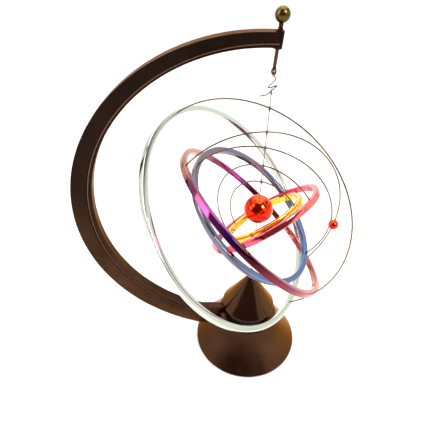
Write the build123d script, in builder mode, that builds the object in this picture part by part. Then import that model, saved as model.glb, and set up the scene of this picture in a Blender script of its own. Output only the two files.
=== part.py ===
from build123d import *
import os
from math import asin, cos, degrees, radians, sin, sqrt

os.makedirs("parts", exist_ok=True)

# Desk orrery in millimetres. +Z is up, the origin is on the table under the middle of the base,
# the thread hangs on the Z axis, and the arm lies in the XZ plane and bows out towards -X.

# ---- Bell-shaped base ----
base_r = 50.0
underside_z = 0.0
lip_h = 1.8
bell_top_r = 27.0
bell_top_z = 41.0
flank_hollow = 0.9
wall = 2.4
roof = 3.0
edge_round = 0.8
fit_gap = 0.15

# ---- Base plate, door, feet and screws ----
plate_t = 2.0
post_ring_r = 38.0
post_r = 3.0
post_h = 13.0
screw_r = 1.2
screw_head_r = 2.3
screw_head_t = 0.9
screw_len = 9.0
foot_r = 4.0
foot_t = 1.2
foot_ring_r = 41.5
door_x = 54.0
door_y = 31.0
door_gap = 0.25
hinge_r = 1.0
hinge_pin_r = 0.55
hinge_pin_len = 1.2
notch_r = 5.0

# ---- Power and drive ----
battery_x = 45.0
battery_y = 26.5
battery_z = 17.5
battery_round = 2.0
clip_t = 3.5
board_x = 28.0
board_y = 12.0
board_t = 1.6
board_centre_y = 22.5
board_lift = 3.2
standoff_r = 1.6
capacitor_r = 2.5
capacitor_h = 7.0
transistor_x = 4.6
transistor_y = 3.6
transistor_h = 4.8
lead_r = 0.7
lead_hole_gap = 0.5
ballast_in_r = 41.6
ballast_out_r = 44.4
ballast_h = 4.2

# ---- Cone, collar, coil ----
collar_r = 20.0
cone_r = 24.5
cone_z = 52.0
cone_top_z = 92.0
cone_tip_r = 1.0
cone_wall = 2.0
cone_floor = 2.0
bobbin_h = 12.0
bobbin_flange_t = 1.2
bobbin_flange_r = 13.0
bobbin_hub_r = 4.6
coil_r = 12.2
core_r = 3.0
core_top_z = 77.0
bolt_r = 2.0
bolt_head_r = 3.6
bolt_head_t = 1.9
bolt_top_z = 50.5
collar_screw_y = 12.0
collar_screw_len = 10.0

# ---- Arm: two circles that are not quite concentric make it slimmer towards its tip ----
arm_t = 7.7
arm_out_r = 138.6
arm_lift = 16.8
arm_centre = (-5.4, arm_out_r + arm_lift)
arm_in_r = arm_out_r - 15.3
arm_in_centre = (arm_centre[0] + 1.4, arm_centre[1] + 6.7)
rib_r = arm_out_r - 9.0
rib_centre = (arm_centre[0] + 3.2, arm_centre[1] + 3.8)
rib_sink = 0.7
arm_round = 0.9
arm_foot_bottom_z = 23.0
arm_foot_top_z = 46.0
arm_foot_end_x = 20.0

# ---- Hanger in the arm's tip; its line runs through the middle of the arm's outer circle ----
boss_r = 2.75
boss_top_r = arm_out_r + 0.5
boss_len = 10.0
rod_r = 1.1
running_gap = 0.05
eye_reach_r = arm_out_r - 22.6
eye_hole_r = 0.8
eye_w = 3.4
eye_t = 1.3
eye_len = 6.5
eye_end = 2.8
finial_r = 4.4
finial_reach_r = arm_out_r + 8.4
collar_top_r = 1.05
collar_low_r = 1.6

# ---- Hook, thread and what is crimped on it ----
hook_r = 0.35
hook_drop = 0.2
thread_r = 0.3
knot_r = 0.8
knot_loop_gap = 0.15
crimp_r = 0.6
crimp_h = 0.8
eyelet_r = 0.9
eyelet_h = 2.0
magnet_r = 1.5
magnet_h = 3.6
magnet_z = 93.4
sun_r = 11.3
sun_z = 165.8
planet_r = 4.1
planet_angle = 32.0
planet_bore = 12.0
planet_gap = 0.09

# ---- Rings: middle radius of the hoop and its bail, height where the bail meets the thread,
# ---- where round the bail that is, in degrees from its low end, and the tilt about X, Y and Z ----
hoop_w = 4.6
hoop_t = 4.4
hoop_round = 0.7
bail_r = 0.5
socket_gap = 0.03
socket_past = 2.0
ring_table = {
    "silver": (88.0, 248.1, 130.5, (26.0, 44.8, -42.5)),
    "purple": (71.0, 231.4, 129.4, (-12.6, 42.2, 13.1)),
    "blue": (59.5, 219.5, 126.9, (11.8, 38.5, -14.9)),
    "pink": (44.5, 205.0, 122.8, (-27.5, -31.9, 137.5)),
    "gold": (31.2, 191.3, 119.4, (-26.3, -31.3, 138.6)),
}


def keep(builder, name):
    """Label a finished piece and write its file."""
    builder.part.label = name
    export_step(builder.part, f"parts/{name}.step")


def circle_z(centre, radius, x):
    """Height of the lower half of a circle in the XZ plane at x."""
    return centre[1] - sqrt(radius**2 - (x - centre[0]) ** 2)


# ---------------------------------------------------------------- base
plate_top_z = underside_z + plate_t
lip_top_z = underside_z + lip_h
flank_mid = (
    (base_r + bell_top_r) / 2 - flank_hollow,
    (lip_top_z + bell_top_z) / 2 - flank_hollow,
)
slot_half = arm_t / 2 + fit_gap


def bell_profile(inset, top_z):
    """Half outline of the bell, moved inwards by inset, up to top_z."""
    Polyline((0, underside_z), (base_r - inset, underside_z), (base_r - inset, lip_top_z))
    ThreePointArc(
        (base_r - inset, lip_top_z),
        (flank_mid[0] - inset, flank_mid[1]),
        (bell_top_r - inset, top_z),
    )
    Polyline((bell_top_r - inset, top_z), (0, top_z), (0, underside_z))


with BuildPart() as bell_base:
    with BuildSketch(Plane.XZ):
        with BuildLine():
            bell_profile(0, bell_top_z)
        make_face()
    revolve(axis=Axis.Z)
    fillet(bell_base.edges().filter_by(GeomType.CIRCLE).group_by(Axis.Z)[-1], edge_round)
    with BuildSketch(Plane.XZ):
        with BuildLine():
            bell_profile(wall, bell_top_z - roof)
        make_face()
    revolve(axis=Axis.Z, mode=Mode.SUBTRACT)
    with BuildSketch(Plane.XY.offset(plate_top_z)):
        with PolarLocations(post_ring_r, 4, start_angle=45):
            Circle(post_r)
    extrude(amount=post_h)
    with BuildSketch(Plane.XY.offset(plate_top_z)):
        with PolarLocations(post_ring_r, 4, start_angle=45):
            Circle(screw_r + running_gap)
    extrude(amount=screw_len, mode=Mode.SUBTRACT)
    with BuildSketch(Plane.XZ):
        with BuildLine():
            Polyline(
                (-base_r, arm_foot_bottom_z - fit_gap),
                (arm_foot_end_x + fit_gap, arm_foot_bottom_z - fit_gap),
                (arm_foot_end_x + fit_gap, arm_foot_top_z),
                (-base_r, arm_foot_top_z),
                close=True,
            )
        make_face()
    extrude(amount=slot_half, both=True, mode=Mode.SUBTRACT)
    with BuildSketch(Plane.XY.offset(bell_top_z - roof)):
        with Locations((0, collar_screw_y), (0, -collar_screw_y)):
            Circle(screw_r + running_gap)
        with Locations((collar_screw_y, collar_screw_y)):
            Circle(lead_r + lead_hole_gap)
    extrude(amount=roof, mode=Mode.SUBTRACT)
keep(bell_base, "bell_base")

door_mid_x = -1.5
hinge_x = door_mid_x - door_x / 2 - hinge_r
hinge_z = underside_z + plate_t / 2

with BuildPart() as base_plate:
    with BuildSketch(Plane.XY.offset(underside_z)):
        Circle(base_r - wall - fit_gap)
        with Locations((door_mid_x - hinge_r, 0)):
            Rectangle(door_x + 2 * hinge_r + 2 * door_gap, door_y + 2 * door_gap, mode=Mode.SUBTRACT)
        with PolarLocations(post_ring_r, 4, start_angle=45):
            Circle(screw_r + running_gap, mode=Mode.SUBTRACT)
    extrude(amount=plate_t)
    with BuildSketch(Plane.XY.offset(underside_z)):
        with PolarLocations(foot_ring_r, 4):
            Circle(foot_r + running_gap)
    extrude(amount=foot_t, mode=Mode.SUBTRACT)
    with BuildSketch(Plane.XY.offset(underside_z)):
        with PolarLocations(post_ring_r, 4, start_angle=45):
            Circle(screw_head_r + running_gap)
    extrude(amount=screw_head_t, mode=Mode.SUBTRACT)
    with BuildSketch(Plane.XY.offset(plate_top_z)):
        with Locations((-board_x / 2 + 3, board_centre_y), (board_x / 2 - 3, board_centre_y)):
            Circle(standoff_r)
    extrude(amount=board_lift)
    with BuildSketch(Plane((hinge_x, 0, hinge_z), x_dir=(1, 0, 0), z_dir=(0, 1, 0))):
        Circle(hinge_pin_r + running_gap)
    extrude(amount=door_y / 2 + door_gap + hinge_pin_len, both=True, mode=Mode.SUBTRACT)
keep(base_plate, "base_plate")

with BuildPart() as battery_door:
    with BuildSketch(Plane.XY.offset(underside_z)):
        with Locations((door_mid_x, 0)):
            Rectangle(door_x, door_y)
        with Locations((door_mid_x + door_x / 2, 0)):
            Circle(notch_r, mode=Mode.SUBTRACT)
    extrude(amount=plate_t)
    with BuildSketch(Plane((hinge_x + hinge_r, 0, hinge_z), x_dir=(1, 0, 0), z_dir=(0, 1, 0))):
        with Locations((-hinge_r, 0)):
            Circle(hinge_r)
        with Locations((-hinge_r / 2, 0)):
            Rectangle(hinge_r, plate_t)
    extrude(amount=door_y / 2, both=True)
    with BuildSketch(Plane((hinge_x, 0, hinge_z), x_dir=(1, 0, 0), z_dir=(0, 1, 0))):
        Circle(hinge_pin_r)
    extrude(amount=door_y / 2 + door_gap + hinge_pin_len - running_gap, both=True)
keep(battery_door, "battery_door")

with BuildPart() as rubber_feet:
    with BuildSketch(Plane.XY.offset(underside_z)):
        with PolarLocations(foot_ring_r, 4):
            Circle(foot_r)
    extrude(amount=foot_t)
keep(rubber_feet, "rubber_feet")

with BuildPart() as plate_screws:
    with BuildSketch(Plane.XY.offset(underside_z)):
        with PolarLocations(post_ring_r, 4, start_angle=45):
            Circle(screw_head_r)
    extrude(amount=screw_head_t)
    with BuildSketch(Plane.XY.offset(underside_z)):
        with PolarLocations(post_ring_r, 4, start_angle=45):
            Circle(screw_r)
    extrude(amount=screw_len)
keep(plate_screws, "plate_screws")

with BuildPart() as ballast_ring:
    with BuildSketch(Plane.XY.offset(plate_top_z)):
        Circle(ballast_out_r)
        Circle(ballast_in_r, mode=Mode.SUBTRACT)
    extrude(amount=ballast_h)
keep(ballast_ring, "ballast_ring")

# ---------------------------------------------------------------- power and drive
battery_mid_x = door_mid_x - clip_t / 2
battery_end_x = battery_mid_x + battery_x / 2
battery_floor_z = plate_top_z + fit_gap

with BuildPart() as battery:
    with BuildSketch(Plane.XY.offset(battery_floor_z)):
        with Locations((battery_mid_x, 0)):
            RectangleRounded(battery_x, battery_y, battery_round)
    extrude(amount=battery_z)
keep(battery, "battery")

with BuildPart() as battery_clip:
    with BuildSketch(Plane.XY.offset(battery_floor_z)):
        with Locations((battery_end_x + clip_t / 2, 0)):
            Rectangle(clip_t, battery_y)
    extrude(amount=battery_z)
keep(battery_clip, "battery_clip")

board_z = plate_top_z + board_lift
with BuildPart() as circuit_board:
    with BuildSketch(Plane.XY.offset(board_z)):
        with Locations((0, board_centre_y)):
            Rectangle(board_x, board_y)
    extrude(amount=board_t)
keep(circuit_board, "circuit_board")

board_top_z = board_z + board_t
with BuildPart() as capacitor:
    with BuildSketch(Plane.XY.offset(board_top_z)):
        with Locations((-7, board_centre_y)):
            Circle(capacitor_r)
    extrude(amount=capacitor_h)
keep(capacitor, "capacitor")

with BuildPart() as drive_transistor:
    with BuildSketch(Plane.XY.offset(board_top_z)):
        with Locations((1, board_centre_y)):
            Rectangle(transistor_x, transistor_y)
    extrude(amount=transistor_h)
keep(drive_transistor, "drive_transistor")

lead_x = collar_screw_y
lead_top_z = cone_z + bobbin_flange_t + 1.0
with BuildPart() as coil_lead:
    with BuildLine() as lead_path:
        FilletPolyline(
            (lead_x - 2.5, board_centre_y, board_top_z),
            (lead_x - 2.5, board_centre_y, board_top_z + 12),
            (lead_x, lead_x, board_top_z + 20),
            (lead_x, lead_x, cone_z),
            radius=3.0,
        )
    with BuildSketch(Plane(origin=lead_path.line @ 0, z_dir=lead_path.line % 0)):
        Circle(lead_r)
    sweep()
keep(coil_lead, "coil_lead")

with BuildPart() as battery_lead:
    with BuildLine() as supply_path:
        FilletPolyline(
            (battery_end_x + clip_t / 2, battery_y / 2, board_top_z + 6),
            (battery_end_x + clip_t / 2, board_centre_y - 3, board_top_z + 6),
            (board_x / 2 - 1.5, board_centre_y + 2, board_top_z + 6),
            (board_x / 2 - 1.5, board_centre_y + 2, board_top_z),
            radius=1.8,
        )
    with BuildSketch(Plane(origin=supply_path.line @ 0, z_dir=supply_path.line % 0)):
        Circle(lead_r)
    sweep()
keep(battery_lead, "battery_lead")

# ---------------------------------------------------------------- collar, cone and coil
with BuildPart() as neck_collar:
    with BuildSketch(Plane.XY.offset(bell_top_z)):
        Circle(collar_r)
    extrude(amount=cone_z - bell_top_z)
    with BuildSketch(Plane.XZ):
        with Locations(((arm_foot_end_x + fit_gap - collar_r - 1) / 2, arm_foot_top_z / 2)):
            Rectangle(arm_foot_end_x + fit_gap + collar_r + 1, arm_foot_top_z + 2 * fit_gap)
    extrude(amount=slot_half, both=True, mode=Mode.SUBTRACT)
    with BuildSketch(Plane.XY.offset(bell_top_z)):
        Circle(bolt_r + running_gap)
        with Locations((collar_screw_y, collar_screw_y)):
            Circle(lead_r + lead_hole_gap)
    extrude(amount=cone_z - bell_top_z, mode=Mode.SUBTRACT)
    with BuildSketch(Plane.XY.offset(bell_top_z)):
        with Locations((0, collar_screw_y), (0, -collar_screw_y)):
            Circle(screw_r + running_gap)
    extrude(amount=collar_screw_len - roof + screw_head_t, mode=Mode.SUBTRACT)
keep(neck_collar, "neck_collar")

cone_slope = (cone_r - cone_tip_r) / (cone_top_z - cone_z)


def cone_inner_r(z):
    """Inner radius of the cone's wall at height z."""
    return cone_r - cone_slope * (z - cone_z) - cone_wall * sqrt(1 + cone_slope**2)


hollow_top_z = core_top_z + 5.0
with BuildPart() as upper_cone:
    with BuildSketch(Plane.XZ):
        with BuildLine():
            Polyline((0, cone_z), (cone_r, cone_z), (cone_tip_r, cone_top_z), (0, cone_top_z), (0, cone_z))
        make_face()
    revolve(axis=Axis.Z)
    fillet(upper_cone.edges().filter_by(GeomType.CIRCLE).group_by(Axis.Z)[-1], cone_tip_r * 0.9)
    fillet(upper_cone.edges().filter_by(GeomType.CIRCLE).group_by(Axis.Z)[0], edge_round)
    with BuildSketch(Plane.XZ):
        with BuildLine():
            Polyline(
                (0, cone_z + cone_floor),
                (cone_inner_r(cone_z + cone_floor), cone_z + cone_floor),
                (cone_inner_r(hollow_top_z), hollow_top_z),
                (0, hollow_top_z),
                (0, cone_z + cone_floor),
            )
        make_face()
    revolve(axis=Axis.Z, mode=Mode.SUBTRACT)
    with BuildSketch(Plane.XY.offset(cone_z)):
        Circle(bobbin_flange_r + fit_gap)
    extrude(amount=cone_floor, mode=Mode.SUBTRACT)
    with BuildSketch(Plane.XY.offset(cone_z)):
        with Locations((collar_screw_y, collar_screw_y)):
            Circle(lead_r + lead_hole_gap)
    extrude(amount=cone_floor, mode=Mode.SUBTRACT)
keep(upper_cone, "upper_cone")

with BuildPart() as coil_bobbin:
    with BuildSketch(Plane.XZ):
        with BuildLine():
            Polyline(
                (core_r, cone_z),
                (bobbin_flange_r, cone_z),
                (bobbin_flange_r, cone_z + bobbin_flange_t),
                (bobbin_hub_r, cone_z + bobbin_flange_t),
                (bobbin_hub_r, cone_z + bobbin_h - bobbin_flange_t),
                (bobbin_flange_r, cone_z + bobbin_h - bobbin_flange_t),
                (bobbin_flange_r, cone_z + bobbin_h),
                (core_r, cone_z + bobbin_h),
                close=True,
            )
        make_face()
    revolve(axis=Axis.Z)
keep(coil_bobbin, "coil_bobbin")

with BuildPart() as drive_coil:
    with BuildSketch(Plane.XY.offset(cone_z + bobbin_flange_t)):
        Circle(coil_r)
        Circle(bobbin_hub_r, mode=Mode.SUBTRACT)
    extrude(amount=bobbin_h - 2 * bobbin_flange_t)
keep(drive_coil, "drive_coil")

with BuildPart() as coil_core:
    with BuildSketch(Plane.XY.offset(cone_z)):
        Circle(core_r)
    extrude(amount=core_top_z - cone_z)
keep(coil_core, "coil_core")

with BuildPart() as clamp_bolt:
    with BuildSketch(Plane.XY.offset(arm_foot_bottom_z - bolt_head_t)):
        Circle(bolt_head_r)
    extrude(amount=bolt_head_t)
    with BuildSketch(Plane.XY.offset(arm_foot_bottom_z)):
        Circle(bolt_r)
    extrude(amount=bolt_top_z - arm_foot_bottom_z)
keep(clamp_bolt, "clamp_bolt")

collar_screw_z = bell_top_z - roof - screw_head_t
with BuildPart() as collar_screws:
    with BuildSketch(Plane.XY.offset(collar_screw_z)):
        with Locations((0, collar_screw_y), (0, -collar_screw_y)):
            Circle(screw_head_r)
    extrude(amount=screw_head_t)
    with BuildSketch(Plane.XY.offset(collar_screw_z)):
        with Locations((0, collar_screw_y), (0, -collar_screw_y)):
            Circle(screw_r)
    extrude(amount=collar_screw_len)
keep(collar_screws, "collar_screws")

# ---------------------------------------------------------------- arm
rod_lean = -arm_centre[0] / eye_reach_r
rod_up = sqrt(1 - rod_lean**2)


def on_rod(reach):
    """Point on the hanger's line at this distance from the middle of the arm's circle."""
    return Vector(arm_centre[0] + reach * rod_lean, 0, arm_centre[1] + reach * rod_up)


def rod_plane(reach):
    """Plane across the hanger's line, its normal pointing up the line."""
    return Plane(origin=on_rod(reach), x_dir=(rod_up, 0, -rod_lean), z_dir=(rod_lean, 0, rod_up))


arm_end_x = on_rod(boss_top_r).X
foot_start_x = arm_centre[0] - sqrt(arm_out_r**2 - (arm_centre[1] - arm_foot_bottom_z) ** 2)


def arm_face(inner_centre, inner_r):
    """Flat crescent between the outer circle and an inner one, cut off at the tip and foot."""
    with Locations(arm_centre):
        Circle(arm_out_r)
    with Locations(inner_centre):
        Circle(inner_r, mode=Mode.SUBTRACT)
    with Locations((arm_end_x + arm_out_r, arm_centre[1])):
        Rectangle(2 * arm_out_r, 3 * arm_out_r, mode=Mode.SUBTRACT)
    with Locations((0, arm_foot_bottom_z - arm_out_r)):
        Rectangle(4 * arm_out_r, 2 * arm_out_r, mode=Mode.SUBTRACT)


with BuildPart() as arm:
    with BuildSketch(Plane.XZ):
        arm_face(arm_in_centre, arm_in_r)
    extrude(amount=arm_t / 2 - rib_sink, both=True)
    with BuildSketch(Plane.XZ):
        arm_face(rib_centre, rib_r)
    extrude(amount=arm_t / 2, both=True)
    with BuildSketch(Plane.XZ):
        with Locations(((foot_start_x + arm_foot_end_x) / 2, (arm_foot_bottom_z + arm_foot_top_z) / 2)):
            Rectangle(arm_foot_end_x - foot_start_x, arm_foot_top_z - arm_foot_bottom_z)
    extrude(amount=arm_t / 2 - rib_sink, both=True)
    with BuildSketch(rod_plane(boss_top_r - boss_len)):
        Circle(boss_r)
    extrude(amount=boss_len)
    with BuildSketch(rod_plane(boss_top_r - boss_len)):
        Circle(rod_r + running_gap)
    extrude(amount=boss_len, mode=Mode.SUBTRACT)
    with BuildSketch(Plane.XY.offset(arm_foot_bottom_z)):
        Circle(bolt_r + running_gap)
    extrude(amount=arm_foot_top_z - arm_foot_bottom_z, mode=Mode.SUBTRACT)
keep(arm, "arm")

# ---------------------------------------------------------------- hanger
finial_seat_r = finial_reach_r - finial_r
eye_bottom_r = eye_reach_r - eye_end
with BuildPart() as hanger_rod:
    with BuildSketch(rod_plane(eye_reach_r + eye_len / 2)):
        Circle(rod_r)
    extrude(amount=finial_reach_r - eye_reach_r - eye_len / 2)
    with BuildSketch(rod_plane(eye_bottom_r)):
        Rectangle(eye_w, eye_t)
    with BuildSketch(rod_plane(eye_reach_r + eye_len)):
        Rectangle(rod_r, rod_r)
    loft()
    with BuildSketch(Plane((0, 0, on_rod(eye_reach_r).Z), x_dir=(1, 0, 0), z_dir=(0, 1, 0))):
        Circle(eye_hole_r)
    extrude(amount=eye_t, both=True, mode=Mode.SUBTRACT)
keep(hanger_rod, "hanger_rod")

with BuildPart() as finial_ball:
    with Locations(on_rod(finial_reach_r)):
        Sphere(finial_r)
    with BuildSketch(rod_plane(finial_seat_r - 1)):
        Circle(rod_r)
    extrude(amount=finial_r + 1, mode=Mode.SUBTRACT)
keep(finial_ball, "finial_ball")

with BuildPart() as rod_collar:
    with BuildSketch(rod_plane(boss_top_r + running_gap)):
        Circle(collar_low_r)
    with BuildSketch(rod_plane(finial_seat_r + 0.1)):
        Circle(rod_r + collar_top_r - 0.8)
    loft()
    with BuildSketch(rod_plane(boss_top_r)):
        Circle(rod_r)
    extrude(amount=finial_r, mode=Mode.SUBTRACT)
    with Locations(on_rod(finial_reach_r)):
        Sphere(finial_r, mode=Mode.SUBTRACT)
keep(rod_collar, "rod_collar")

# ---------------------------------------------------------------- hook and thread
hook_z = on_rod(eye_reach_r).Z - hook_drop
tie_z = hook_z - 11.5
hook_points = [
    (0, 1.5, hook_z - 3.4),
    (0, 1.5, hook_z),
    (0, -1.5, hook_z),
    (2.2, -1.3, hook_z - 4.2),
    (-2.6, 0.2, hook_z - 9.6),
    (3.2, 0.0, hook_z - 8.4),
    (-2.9, 0.0, tie_z - 2.9),
    (-7.4, 0.0, tie_z - 3.7),
]
hook_radii = [1.2, 1.2, 1.5, 0.9, 0.9, 1.6]

with BuildPart() as s_hook:
    with BuildLine() as hook_path:
        FilletPolyline(*hook_points, radius=hook_radii)
    with BuildSketch(Plane(origin=hook_path.line @ 0, z_dir=hook_path.line % 0)):
        Circle(hook_r)
    sweep()
keep(s_hook, "s_hook")

loop_r = hook_r * sqrt(2) + knot_loop_gap + thread_r
knot_z = tie_z - loop_r - thread_r - knot_r * 0.7
with BuildPart() as thread_knot:
    with Locations((0, 0, knot_z)):
        Sphere(knot_r)
    with Locations(Plane(origin=(0, 0, tie_z), z_dir=(1, 0, 0))):
        Torus(loop_r, thread_r)
    with BuildSketch(Plane.XY.offset(knot_z - knot_r)):
        Circle(2 * thread_r)
    extrude(amount=knot_r)
    with BuildSketch(Plane.XY.offset(knot_z - knot_r)):
        Circle(thread_r + running_gap)
    extrude(amount=knot_r * 0.8, mode=Mode.SUBTRACT)
keep(thread_knot, "thread_knot")

thread_top_z = knot_z - knot_r * 0.2 - running_gap
thread_bottom_z = magnet_z + magnet_h
with BuildPart() as thread:
    with BuildSketch(Plane.XY.offset(thread_bottom_z)):
        Circle(thread_r)
    extrude(amount=thread_top_z - thread_bottom_z)
keep(thread, "thread")

crimp_tops = [z - eyelet_h / 2 - 2 * running_gap for _, z, _, _ in ring_table.values()]
crimp_tops.append(sun_z - sun_r - 2 * running_gap)
with BuildPart() as thread_crimps:
    for top_z in crimp_tops:
        with BuildSketch(Plane.XY.offset(top_z - crimp_h)):
            Circle(crimp_r)
            Circle(thread_r, mode=Mode.SUBTRACT)
        extrude(amount=crimp_h)
keep(thread_crimps, "thread_crimps")

with BuildPart() as end_magnet:
    with BuildSketch(Plane.XY.offset(magnet_z)):
        Circle(magnet_r)
    extrude(amount=magnet_h)
    fillet(end_magnet.edges().filter_by(GeomType.CIRCLE), 0.3)
keep(end_magnet, "end_magnet")

with BuildPart() as sun_ball:
    with Locations((0, 0, sun_z)):
        Sphere(sun_r)
    with BuildSketch(Plane.XY.offset(sun_z - sun_r - 1)):
        Circle(thread_r + running_gap)
    extrude(amount=2 * sun_r + 2, mode=Mode.SUBTRACT)
keep(sun_ball, "sun_ball")

# ---------------------------------------------------------------- rings and their bails
for name, (ring_r, hang_z, hang_angle, tilt) in ring_table.items():
    tilted = Plane(Location((0, 0, 0), tilt))
    to_hang = tilted.x_dir * cos(radians(hang_angle)) + tilted.z_dir * sin(radians(hang_angle))
    centre = Vector(0, 0, hang_z) - to_hang * ring_r
    across = tilted.x_dir.cross(tilted.z_dir)
    bail_plane = Plane(origin=centre, x_dir=tilted.x_dir, z_dir=across)
    section_plane = Plane(origin=centre + tilted.x_dir * ring_r, x_dir=tilted.x_dir, z_dir=across)
    socket_angle = degrees(asin(hoop_w / 2 / ring_r)) + socket_past

    with BuildPart() as ring:
        with BuildSketch(section_plane):
            RectangleRounded(hoop_t, hoop_w, hoop_round)
        revolve(axis=Axis(centre, tilted.z_dir))
        for start, swing in ((0, socket_angle), (180, -socket_angle)):
            with BuildLine(bail_plane) as socket_path:
                CenterArc((0, 0), ring_r, start, swing)
            with BuildSketch(Plane(origin=socket_path.line @ 0, z_dir=socket_path.line % 0)):
                Circle(bail_r + socket_gap)
            sweep(mode=Mode.SUBTRACT)
    keep(ring, f"{name}_ring")

    with BuildPart() as bail:
        with BuildLine(bail_plane) as bail_path:
            CenterArc((0, 0), ring_r, 0, 180)
        with BuildSketch(Plane(origin=bail_path.line @ 0, z_dir=bail_path.line % 0)):
            Circle(bail_r)
        sweep()
        with BuildSketch(Plane.XY.offset(hang_z - eyelet_h / 2)):
            Circle(eyelet_r)
        extrude(amount=eyelet_h)
        with BuildSketch(Plane.XY.offset(hang_z - eyelet_h)):
            Circle(thread_r + running_gap)
        extrude(amount=2 * eyelet_h, mode=Mode.SUBTRACT)
    keep(bail, f"{name}_bail")

    if name == "purple":
        at = radians(planet_angle)
        along = tilted.x_dir * cos(at) + tilted.z_dir * sin(at)
        planet_at = centre + along * ring_r
        with BuildPart() as planet_ball:
            with Locations(Plane(origin=planet_at, z_dir=along.cross(across))):
                Sphere(planet_r)
            with BuildLine(bail_plane) as bore_path:
                CenterArc((0, 0), ring_r, planet_angle - planet_bore / 2, planet_bore)
            with BuildSketch(Plane(origin=bore_path.line @ 0, z_dir=bore_path.line % 0)):
                Circle(bail_r + planet_gap)
            sweep(mode=Mode.SUBTRACT)
        keep(planet_ball, "planet_ball")
    print(name, "ring centre", [round(v, 3) for v in centre], "across", [round(v, 5) for v in across])
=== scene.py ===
import math

import bpy
from mathutils import Matrix, Vector


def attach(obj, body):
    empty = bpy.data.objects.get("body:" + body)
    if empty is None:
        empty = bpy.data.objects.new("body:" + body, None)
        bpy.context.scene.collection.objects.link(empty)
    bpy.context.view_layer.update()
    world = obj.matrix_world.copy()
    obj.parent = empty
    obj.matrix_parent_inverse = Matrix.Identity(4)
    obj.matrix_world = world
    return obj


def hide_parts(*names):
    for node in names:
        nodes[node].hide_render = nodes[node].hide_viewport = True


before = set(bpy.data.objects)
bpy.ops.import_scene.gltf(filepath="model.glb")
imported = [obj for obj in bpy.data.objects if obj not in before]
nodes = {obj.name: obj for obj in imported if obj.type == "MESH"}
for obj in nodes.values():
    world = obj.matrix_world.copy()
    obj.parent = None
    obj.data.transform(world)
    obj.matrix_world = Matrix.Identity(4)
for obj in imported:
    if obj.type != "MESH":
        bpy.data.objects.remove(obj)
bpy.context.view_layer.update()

MM = 0.001

# ---------------------------------------------------------------- camera
camera_right = Vector((0.99971, -0.00470, 0.02381))
camera_down = Vector((0.01535, -0.63747, -0.77032))
camera_forward = Vector((0.01880, 0.77046, -0.63721))
camera_data = bpy.data.cameras.new("studio_camera")
camera_data.lens = 31.01
camera_data.sensor_width = 36.0
camera_data.clip_start = 0.01
camera_data.clip_end = 30.0
camera = bpy.data.objects.new("studio_camera", camera_data)
camera_place = Vector((-35.46, -233.85, 347.36))
camera_turn = Matrix((camera_right, -camera_down, -camera_forward)).transposed().to_4x4()
camera.matrix_world = Matrix.Translation(camera_place * MM) @ camera_turn
bpy.context.scene.collection.objects.link(camera)
bpy.context.scene.camera = camera

# ---------------------------------------------------------------- sizes, in millimetres
thread_r = 0.3
thread_top_z = 257.56
magnet_z = 93.4
magnet_h = 3.6
base_r = 50.0
lip_z = 1.8
bell_top_r = 27.0
bell_top_z = 41.0
cone_r = 24.5
cone_z = 52.0
cone_top_z = 92.0
cone_tip_r = 1.0
arm_x = -5.4
arm_z = 155.4
arm_out_r = 138.6
arm_in_r = 123.3
arm_half = 3.85
rib_x = -2.2
rib_z = 159.2
rib_r = 129.6
rib_sink = 0.7
bead_track_r = 128.4
bead_r = 0.6
bead_face_y = 3.2
# painted highlight: radius of the lighter line painted along the bead
bead_highlight_track_r = 128.5
# painted shade: the arm's lacquer darkens and cools between these two heights
painted_shade_low_z = 70
painted_shade_high_z = 210
foot_low_z = 23.0
foot_high_z = 46.0
foot_end_x = 20.0
foot_half = 3.15
boss_low_r = 129.1
boss_high_r = 139.1
eye_reach_r = 116.0
finial_reach_r = 147.0
finial_r = 4.4
rod_r = 1.1
hook_r = 0.35
arm_centre = Vector((arm_x, 0.0, arm_z))
rod_lean = -arm_x / eye_reach_r
rod_dir = Vector((rod_lean, 0.0, math.sqrt(1 - rod_lean**2)))
eye_z = arm_centre.z + eye_reach_r * rod_dir.z
hook_z = eye_z - 0.2
sun_z = 165.8
sun_r = 11.3
planet_r = 4.1
planet_angle = 32.0
hoop_w = 4.6
hoop_t = 4.4
hoop_round = 0.7
bail_r = 0.5
RINGS = {
    "silver": (88.0, 248.1, 130.5, (26.0, 44.8, -42.5)),
    "purple": (71.0, 231.4, 129.4, (-12.6, 42.2, 13.1)),
    "blue": (59.5, 219.5, 126.9, (11.8, 38.5, -14.9)),
    "pink": (44.5, 205.0, 122.8, (-27.5, -31.9, 137.5)),
    "gold": (31.2, 191.3, 119.4, (-26.3, -31.3, 138.6)),
}


# ---------------------------------------------------------------- modelling helpers
def clear_selection():
    """Leave edit mode and deselect everything."""
    if bpy.context.object and bpy.context.object.mode != "OBJECT":
        bpy.ops.object.mode_set(mode="OBJECT")
    bpy.ops.object.select_all(action="DESELECT")


def take(obj):
    """Make obj the only selected and active object."""
    clear_selection()
    obj.select_set(True)
    bpy.context.view_layer.objects.active = obj


def named(name):
    """Name the active object and its mesh."""
    obj = bpy.context.object
    obj.name = name
    obj.data.name = name
    return obj


def settle(obj, placing=None):
    """Put an object's place into its mesh, and leave the object at the origin."""
    take(obj)
    bpy.ops.object.transform_apply(location=True, rotation=True, scale=True)
    obj.data.transform(placing or Matrix())
    obj.data.update()
    return obj


def outwards(obj, merge=0.00001):
    """Merge doubled points and turn every face outwards."""
    take(obj)
    bpy.ops.object.mode_set(mode="EDIT")
    bpy.ops.mesh.select_all(action="SELECT")
    bpy.ops.mesh.remove_doubles(threshold=merge)
    bpy.ops.mesh.normals_make_consistent(inside=False)
    bpy.ops.object.mode_set(mode="OBJECT")


def smooth(obj, angle=32):
    """Shade faces smooth up to an angle in degrees."""
    take(obj)
    bpy.ops.object.shade_smooth_by_angle(angle=math.radians(angle))


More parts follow.
